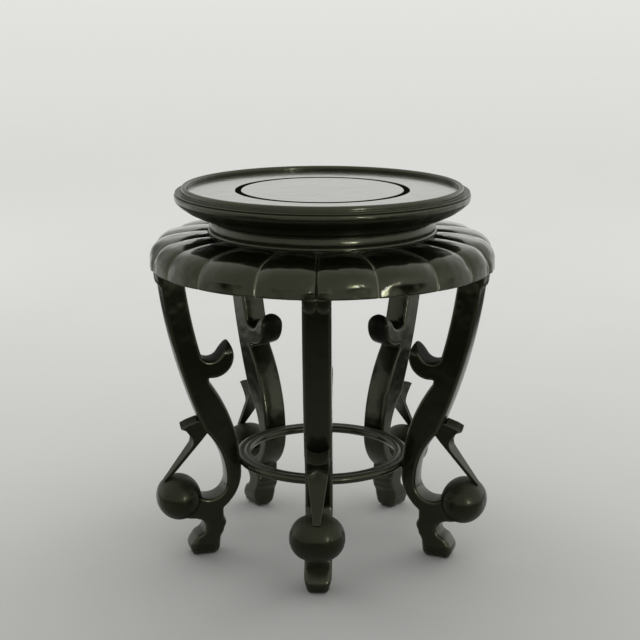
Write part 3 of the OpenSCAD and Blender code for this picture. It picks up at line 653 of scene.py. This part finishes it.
# Top rim: the widest turned ring, with a long undercut below a crisp arris, an upright edge, a quirk under a narrow
# ledge, and a raised lip round the panel. It is dowelled down to the waist.
UNDERCUT = [(92.5, RIM_Z), (106.0, 293.4), (113.6, 297.0), (119.4, 301.0), (122.9, 304.2)]
RIM_EDGE = [(123.7, 305.6), (124.0, 307.0), (124.0, 309.0), (123.7, 309.9), (122.5, 310.3), (122.5, 310.8)]
RIM_LEDGE = [(123.3, 311.2), (123.2, 311.7), (122.4, 311.8), (118.6, 311.6), (118.0, 312.2)]
LIP, LIP_R, REBATE_R, REBATE_Z = (115.7, 314.2), 2.3, 113.4, 305.2
RIM_SPACING, RIM_EASE = 0.45, 0.2
rim_section = [
    np.array([(FRAME_IN_R, RIM_Z)] + UNDERCUT + RIM_EDGE + RIM_LEDGE),
    arc(LIP, LIP_R, 0, 180),
    np.array([(REBATE_R, REBATE_Z), (FRAME_IN_R, REBATE_Z)]),
]
turned_piece("top_rim_turned", rim_section, RIM_SPACING, RIM_EASE, round_lacquer, "hardwood", "top_rim")

# Panel: the flat round board of the top, with its grain from side to side and the clearest polish of all. It is let
# into the rim's rebate and has a channel for the inlay.
PANEL_R, PANEL_Z, PANEL_EASE = 113.25, 312.2, 0.4
CHANNEL_IN, CHANNEL_OUT, CHANNEL_EASE = 68.05, 73.15, 0.4
CHANNEL_LIP_Z, CHANNEL_Z = PANEL_Z - 0.25, PANEL_Z - 1.65
FLAT_CRISP = 25
panel_lacquer = black_lacquer(
    "black_lacquer_panel", (ALONG_GRAIN, 1, 1), rough=0.14, coat=0.3, gloss=0.7, dusty=0.0, wavy=0.0004
)
panel_section = [(0, PANEL_Z), (20, PANEL_Z), (45, PANEL_Z), (CHANNEL_IN - CHANNEL_EASE, PANEL_Z)]
panel_section += [(CHANNEL_IN, CHANNEL_LIP_Z), (CHANNEL_IN, CHANNEL_Z), (CHANNEL_OUT, CHANNEL_Z)]
panel_section += [(CHANNEL_OUT, CHANNEL_LIP_Z), (CHANNEL_OUT + CHANNEL_EASE, PANEL_Z), (90, PANEL_Z)]
panel_section += [(PANEL_R - 0.5, PANEL_Z), (PANEL_R, PANEL_Z - PANEL_EASE)]
panel_section += [(PANEL_R, REBATE_Z), (60, REBATE_Z), (0, REBATE_Z)]
panel_points = turned(np.array(panel_section))
panel_faces = grid_faces(*panel_points.shape[:2], True, False)
make_piece("top_panel_board", panel_points, panel_faces, panel_lacquer, "panel", "top_panel", crisp=FLAT_CRISP)

# Inlay: a narrow ring of dull black wood, with fine grain and no polish, so that it stays dark beside the panel. It
# is glued flush into the panel's channel.
INLAY_IN, INLAY_OUT, INLAY_LOW_Z, INLAY_Z, INLAY_EASE = 68.2, 73.0, 310.7, 312.15, 0.2
INLAY_DARK, INLAY_LIGHT = (0.0020, 0.0022, 0.0016, 1), (0.0060, 0.0064, 0.0046, 1)
INLAY_GRAIN, INLAY_GRAIN_SCALE = (0.3, 0.3, 1), 1200.0


def laid_on(start, sockets):
    """Ends a finish with one Principled shader that has the given sockets."""
    shader = start.node("ShaderNodeBsdfPrincipled", {}, sockets)
    start.node("ShaderNodeOutputMaterial", {}, {"Surface": shader})


inlay_finish, inlay_start, inlay_place = new_finish("dull_black_inlay")
inlay_grain = noise(inlay_start, inlay_place, INLAY_GRAIN, INLAY_GRAIN_SCALE, 4.0)
inlay_bump = {"Strength": 0.3, "Distance": 0.0002, "Height": inlay_grain}
laid_on(
    inlay_start,
    {
        "Base Color": inlay_grain.blend(INLAY_DARK, INLAY_LIGHT),
        "Roughness": 0.45 + inlay_grain * 0.25,
        "Specular IOR Level": 0.0,
        "Normal": inlay_start.node("ShaderNodeBump", {}, inlay_bump),
    },
)
inlay_section = [(INLAY_IN, INLAY_LOW_Z), (INLAY_OUT, INLAY_LOW_Z), (INLAY_OUT, INLAY_Z - INLAY_EASE)]
inlay_section += [(INLAY_OUT - INLAY_EASE, INLAY_Z), (INLAY_IN + INLAY_EASE, INLAY_Z)]
inlay_section += [(INLAY_IN, INLAY_Z - INLAY_EASE)]
inlay_points = turned(np.array(inlay_section))
inlay_faces = grid_faces(*inlay_points.shape[:2], True, True)
make_piece("panel_inlay_ring", inlay_points, inlay_faces, inlay_finish, "inlay", "panel_inlay", crisp=FLAT_CRISP)

# Hidden joinery: dowels, pegs and loose keys of pale bamboo, split and rounded by hand. They are glued into their
# holes and slots, and out of sight once the stand is together.
BAMBOO_DARK, BAMBOO_LIGHT = (0.30, 0.19, 0.09, 1), (0.46, 0.32, 0.17, 1)
FIBRE, FIBRE_SCALE = (1, 1, 0.05), 1500.0
dowel_wood, dowel_start, dowel_place = new_finish("dowel_bamboo")
fibre = noise(dowel_start, dowel_place, FIBRE, FIBRE_SCALE, 4.0)
fibre_bump = {"Strength": 0.4, "Distance": 0.0002, "Height": fibre}
laid_on(
    dowel_start,
    {
        "Base Color": fibre.blend(BAMBOO_DARK, BAMBOO_LIGHT),
        "Roughness": 0.5 + fibre * 0.25,
        "Normal": dowel_start.node("ShaderNodeBump", {}, fibre_bump),
    },
)
for node in ("waist_dowels", "apron_keys", "leg_pegs", "stretcher_pegs", "ball_dowels"):
    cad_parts[node].data.materials.clear()
    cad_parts[node].data.materials.append(dowel_wood)

# Floor: a plain pale ground that the stand is shown on, with painted shade that makes it a little darker about the
# stand and paler far off, and a faint mottle.
FLOOR_HALF = 40.0
FLOOR_PAINTED_SHADE, FLOOR_FAR, FLOOR_MIDDLE = (0.29, 0.29, 0.28, 1), (0.69, 0.69, 0.67, 1), (0, -0.35, 0)
FLOOR_ROUND, FLOOR_SPREAD, MOTTLE_SCALE, MOTTLE_SHARE = 0.02, 0.7, 9.0, 0.03


def stage_sheet(name, low, high, height, finish):
    """A flat oblong from its low to its high corner, at one height, that isn't part of the stand."""
    (west, south), (east, north) = low, high
    corners = [(west, south, height), (east, south, height), (east, north, height), (west, north, height)]
    mesh = bpy.data.meshes.new(name)
    mesh.from_pydata(corners, [], [(0, 1, 2, 3)])
    mesh.materials.append(finish)
    sheet = bpy.data.objects.new(name, mesh)
    bpy.context.scene.collection.objects.link(sheet)
    return sheet


floor_finish, floor_start, floor_place = new_finish("pale_floor")
mottle = noise(floor_start, floor_place, EVEN, MOTTLE_SCALE, 2.0)
from_middle = {0: floor_place, 1: FLOOR_MIDDLE}
middle = floor_start.node("ShaderNodeVectorMath", {"operation": "DISTANCE"}, from_middle, 1)
middle = (middle * middle + FLOOR_ROUND) ** 0.5
# Painted shade: the share of the pale colour grows with the distance from a point just before the stand.
floor_out_of_shade = middle * ((middle + FLOOR_SPREAD) ** -1.0) + mottle * MOTTLE_SHARE
floor_colour = floor_out_of_shade.blend(FLOOR_PAINTED_SHADE, FLOOR_FAR)
laid_on(floor_start, {"Base Color": floor_colour, "Roughness": 0.9, "Specular IOR Level": 0.1})
stage_sheet("floor", (-FLOOR_HALF, -FLOOR_HALF), (FLOOR_HALF, FLOOR_HALF), 0, floor_finish)

# Light: a pale room, brightest behind the stand, with a window on the right and a dark corner behind on the left.
# Two tall soft boxes and an overhead glow only light the stand, a small lamp only puts bright spots on its rounds,
# and a black card on the floor, under, before and beside the stand, is painted shade that only shows in the gloss
# of the lacquer.
ROOM_FRONT, ROOM_BACK = (0.62, 0.62, 0.62, 1), (1.08, 1.08, 1.06, 1)
ROOM_DARK, ROOM_SEEN = (0.12, 0.12, 0.12, 1), (0.75, 0.75, 0.74, 1)
BACK_FROM, BACK_FADE = 0.35, 0.8
DARK_CORNER, DARK_NARROW, DARK_SHARE = (-0.6, 0.77, 0.2), 24.0, 0.9
WINDOW_SIDE, WINDOW_NARROW, WINDOW_MORE = (0.7, -0.7, 0.12), 7.0, 0.8
room = bpy.data.worlds.new("studio")
room.use_nodes = True
room.node_tree.nodes.clear()
room_start = Strand(room.node_tree)
towards = room_start.node("ShaderNodeTexCoord", {}, {}, "Generated")


def looking_to(direction):
    """How nearly a ray into the room looks in a direction: their dot product, held between nought and one."""
    both = {0: towards, 1: direction}
    return room_start.node("ShaderNodeVectorMath", {"operation": "DOT_PRODUCT"}, both, 1).held()


(backward,) = split(room_start, towards, "Y")
behind = ((backward + BACK_FROM) * BACK_FADE).held()
seen = room_start.node("ShaderNodeLightPath", {}, {}, "Is Camera Ray")
glow = behind.blend(ROOM_FRONT, ROOM_BACK)
glow = (looking_to(DARK_CORNER) ** DARK_NARROW * DARK_SHARE).blend(glow, ROOM_DARK)
glow = seen.blend(glow, ROOM_SEEN)
strength = 1.0 + looking_to(WINDOW_SIDE) ** WINDOW_NARROW * WINDOW_MORE
sky = room_start.node("ShaderNodeBackground", {}, {"Color": glow, "Strength": strength})
room_start.node("ShaderNodeOutputWorld", {}, {"Surface": sky})
bpy.context.scene.world = room

AIM = (0, 0, 0.25)
BOX_OUT, BOX_BACK, BOX_UP, BOX_WIDE, BOX_TALL, BOX_POWER = 1.5, 1.1, 0.8, 0.7, 1.6, 4.5
SPOT_PLACE, SPOT_WIDE, SPOT_POWER = (0.8, -1.4, 0.36), 0.15, 2.6
OVERHEAD_PLACE, OVERHEAD_POWER, OVERHEAD_SPREAD = (0.4, 1.2, 3.0), 1.1, 100


def hang_lamp(lamp, place, aim):
    """Hangs a lamp, which the camera doesn't see, at a place and turns it to a point by two angles, from the fall
    and from the heading."""
    holder = bpy.data.objects.new(lamp.name, lamp)
    holder.location = place
    facing = np.subtract(aim, place)
    flat = math.hypot(facing[0], facing[1])
    holder.rotation_euler = (math.atan2(flat, -facing[2]), 0, math.atan2(-facing[0], facing[1]))
    holder.visible_camera = False
    bpy.context.scene.collection.objects.link(holder)
    return holder


def soft_box(name, place, wide, tall, power):
    """An oblong lamp at a place, turned to the middle of the stand."""
    lamp = bpy.data.lights.new(name, "AREA")
    lamp.shape, lamp.size, lamp.size_y, lamp.energy = "RECTANGLE", wide, tall, power
    return hang_lamp(lamp, place, AIM)


for name, side in (("left_box", -1), ("right_box", 1)):
    box_place = (side * BOX_OUT, BOX_BACK, BOX_UP)
    soft_box(name, box_place, BOX_WIDE, BOX_TALL, BOX_POWER).visible_glossy = False
soft_box("small_lamp", SPOT_PLACE, SPOT_WIDE, SPOT_WIDE, SPOT_POWER).visible_diffuse = False
overhead = bpy.data.lights.new("overhead", "SUN")
overhead.energy, overhead.angle = OVERHEAD_POWER, math.radians(OVERHEAD_SPREAD)
hang_lamp(overhead, OVERHEAD_PLACE, (0, 0, 0)).visible_glossy = False

CARD_HALF, CARD_FRONT, CARD_BACK, CARD_Z = 1.6, -1.4, 1.1, 0.002
CARD_SHADE_DARK = (0.02, 0.02, 0.02, 1)
CARD_NEAR, CARD_NEAR_FADE, CARD_SIDE, CARD_SIDE_HALF, CARD_SIDE_FADE = 0.05, 1.6, 0.52, 0.2, 8.0
CARD_FRONT_END, CARD_BACK_END, CARD_END_FADE = -1.32, 1.0, 4.0
# Painted shade: a dark card seen only in reflections, under and before the stand and in two bands beside it, fading
# out at its front and back ends.
card_finish, card_start, card_place = new_finish("black_shade_card")
card_x, card_y = split(card_start, card_place, "XY")
card_ahead = (CARD_NEAR - card_y) * CARD_NEAR_FADE
card_beside = (CARD_SIDE_HALF - (card_x.size() - CARD_SIDE).size()) * CARD_SIDE_FADE
card_near = card_start.maths("MAXIMUM", card_ahead, card_beside).held()
card_far = ((card_y - CARD_FRONT_END) * CARD_END_FADE).held() * ((CARD_BACK_END - card_y) * CARD_END_FADE).held()
painted_shade_there = card_near * card_far
laid_on(card_start, {"Base Color": CARD_SHADE_DARK, "Roughness": 0.9, "Specular IOR Level": 0.0, "Alpha": painted_shade_there})
card = stage_sheet("black_shade_card", (-CARD_HALF, CARD_FRONT), (CARD_HALF, CARD_BACK), CARD_Z, card_finish)
card.visible_camera = card.visible_diffuse = card.visible_shadow = False

# Camera: at the height and distance of the photograph, a little above the top and looking down at it through a long
# lens. The shift is in shares of the square frame.
CAMERA_OUT, CAMERA_UP, CAMERA_YAW, CAMERA_PITCH = 1.18236, 0.49040, 0.0324, 0.24124
FRAME_PIXELS, SHIFT_PIXELS = 640, -2.42
eye = bpy.data.cameras.new("camera")
eye.lens, eye.sensor_width = 80.015, 36.0
eye.shift_x = SHIFT_PIXELS / FRAME_PIXELS
viewer = bpy.data.objects.new("camera", eye)
viewer.location = (CAMERA_OUT * math.sin(CAMERA_YAW), -CAMERA_OUT * math.cos(CAMERA_YAW), CAMERA_UP)
viewer.rotation_euler = (math.pi / 2 - CAMERA_PITCH, 0, CAMERA_YAW)
bpy.context.scene.collection.objects.link(viewer)
bpy.context.scene.camera = viewer
bpy.context.scene.view_settings.view_transform = "Standard"
